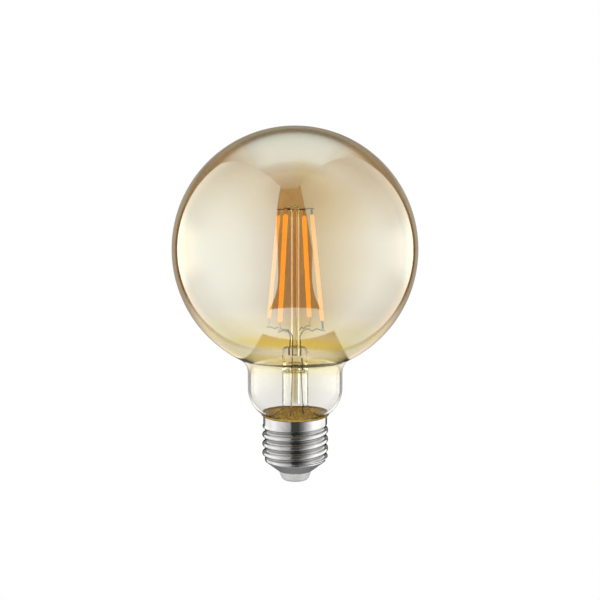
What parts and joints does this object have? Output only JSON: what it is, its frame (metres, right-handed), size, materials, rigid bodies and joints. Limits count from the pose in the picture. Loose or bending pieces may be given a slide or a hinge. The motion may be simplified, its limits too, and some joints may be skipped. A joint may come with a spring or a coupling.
{
  "type": "light bulb",
  "caption": "Smart globe light bulb with an amber glass envelope, glowing strip filaments on a glass stem, and a threaded metal screw cap that holds the driver.",
  "frame": {"origin": "centre of the flat face of the cap's centre contact", "axes": "+Z along the lamp's axis from the cap to the crown of the globe, -Y towards the viewer, +X to the viewer's right"},
  "size_m": [0.095, 0.095, 0.138],
  "materials": {
    "amber_glass": "clear amber glass, fading to clear at the neck",
    "clear_glass": "clear polished glass",
    "support_wire": "drawn nickel-iron wire, slightly oxidised",
    "lead_wire": "copper-clad lead wire, slightly oxidised",
    "strip_carrier": "white ceramic strip",
    "phosphor": "matte phosphor-filled silicone",
    "strip_tab": "stamped plated steel",
    "plated_shell": "bright nickel plate",
    "contact_metal": "satin pressed metal",
    "insulator": "matte grey moulded insulator",
    "cement": "granular brown capping cement",
    "potting": "granular brown filler",
    "sleeve_film": "milky polyester film",
    "board": "green solder resist on glass fibre",
    "chip": "black moulded package",
    "capacitor_sleeve": "shrunk dark film sleeve",
    "ceramic_chip": "fired ceramic chip",
    "resistor_coat": "painted ceramic barrel",
    "ferrite": "dark pressed ferrite",
    "copper": "enamelled copper",
    "tin_can": "tin-plated steel",
    "header_plastic": "black moulded header",
    "wire_insulation": "fine insulated hook-up wire",
    "solder": "dull tin solder"
  },
  "bodies": {
    "root": {"antenna_trace": "copper", "bridge_rectifier": "chip", "bulk_capacitor": "capacitor_sleeve", "cap_insulator": "insulator", "capping_cement": "cement", "centre_contact": "contact_metal", "ceramic_capacitor": "ceramic_chip", "choke_core": "ferrite", "choke_winding": "copper", "clock_crystal": "tin_can", "common_lead_wire": "lead_wire", "contact_solder": "solder", "cool_channel_transistor": "chip", "cool_lead_wire": "lead_wire", "driver_board": "board", "driver_chip": "chip", "exhaust_tube": "clear_glass", "filament_back_left_carrier": "strip_carrier", "filament_back_left_foot_tab": "strip_tab", "filament_back_left_phosphor": "phosphor", "filament_back_left_top_tab": "strip_tab", "filament_back_right_carrier": "strip_carrier", "filament_back_right_foot_tab": "strip_tab", "filament_back_right_phosphor": "phosphor", "filament_back_right_top_tab": "strip_tab", "filament_front_left_carrier": "strip_carrier", "filament_front_left_foot_tab": "strip_tab", "filament_front_left_phosphor": "phosphor", "filament_front_left_top_tab": "strip_tab", "filament_front_right_carrier": "strip_carrier", "filament_front_right_foot_tab": "strip_tab", "filament_front_right_phosphor": "phosphor", "filament_front_right_top_tab": "strip_tab", "fusible_resistor": "resistor_coat", "glass_globe": "amber_glass", "insulating_sleeve": "sleeve_film", "live_wire": "wire_insulation", "lower_wire_back_left": "support_wire", "lower_wire_back_right": "support_wire", "lower_wire_front_left": "support_wire", "lower_wire_front_right": "support_wire", "neutral_wire": "wire_insulation", "pin_header": "header_plastic", "potting_compound": "potting", "screw_shell": "plated_shell", "shell_solder": "solder", "shield_can": "tin_can", "stem_flare": "clear_glass", "support_pillar": "clear_glass", "upper_link_wire_left": "support_wire", "upper_link_wire_right": "support_wire", "warm_channel_transistor": "chip", "warm_lead_wire": "lead_wire", "wireless_board": "board"}
  },
  "joints": []
}
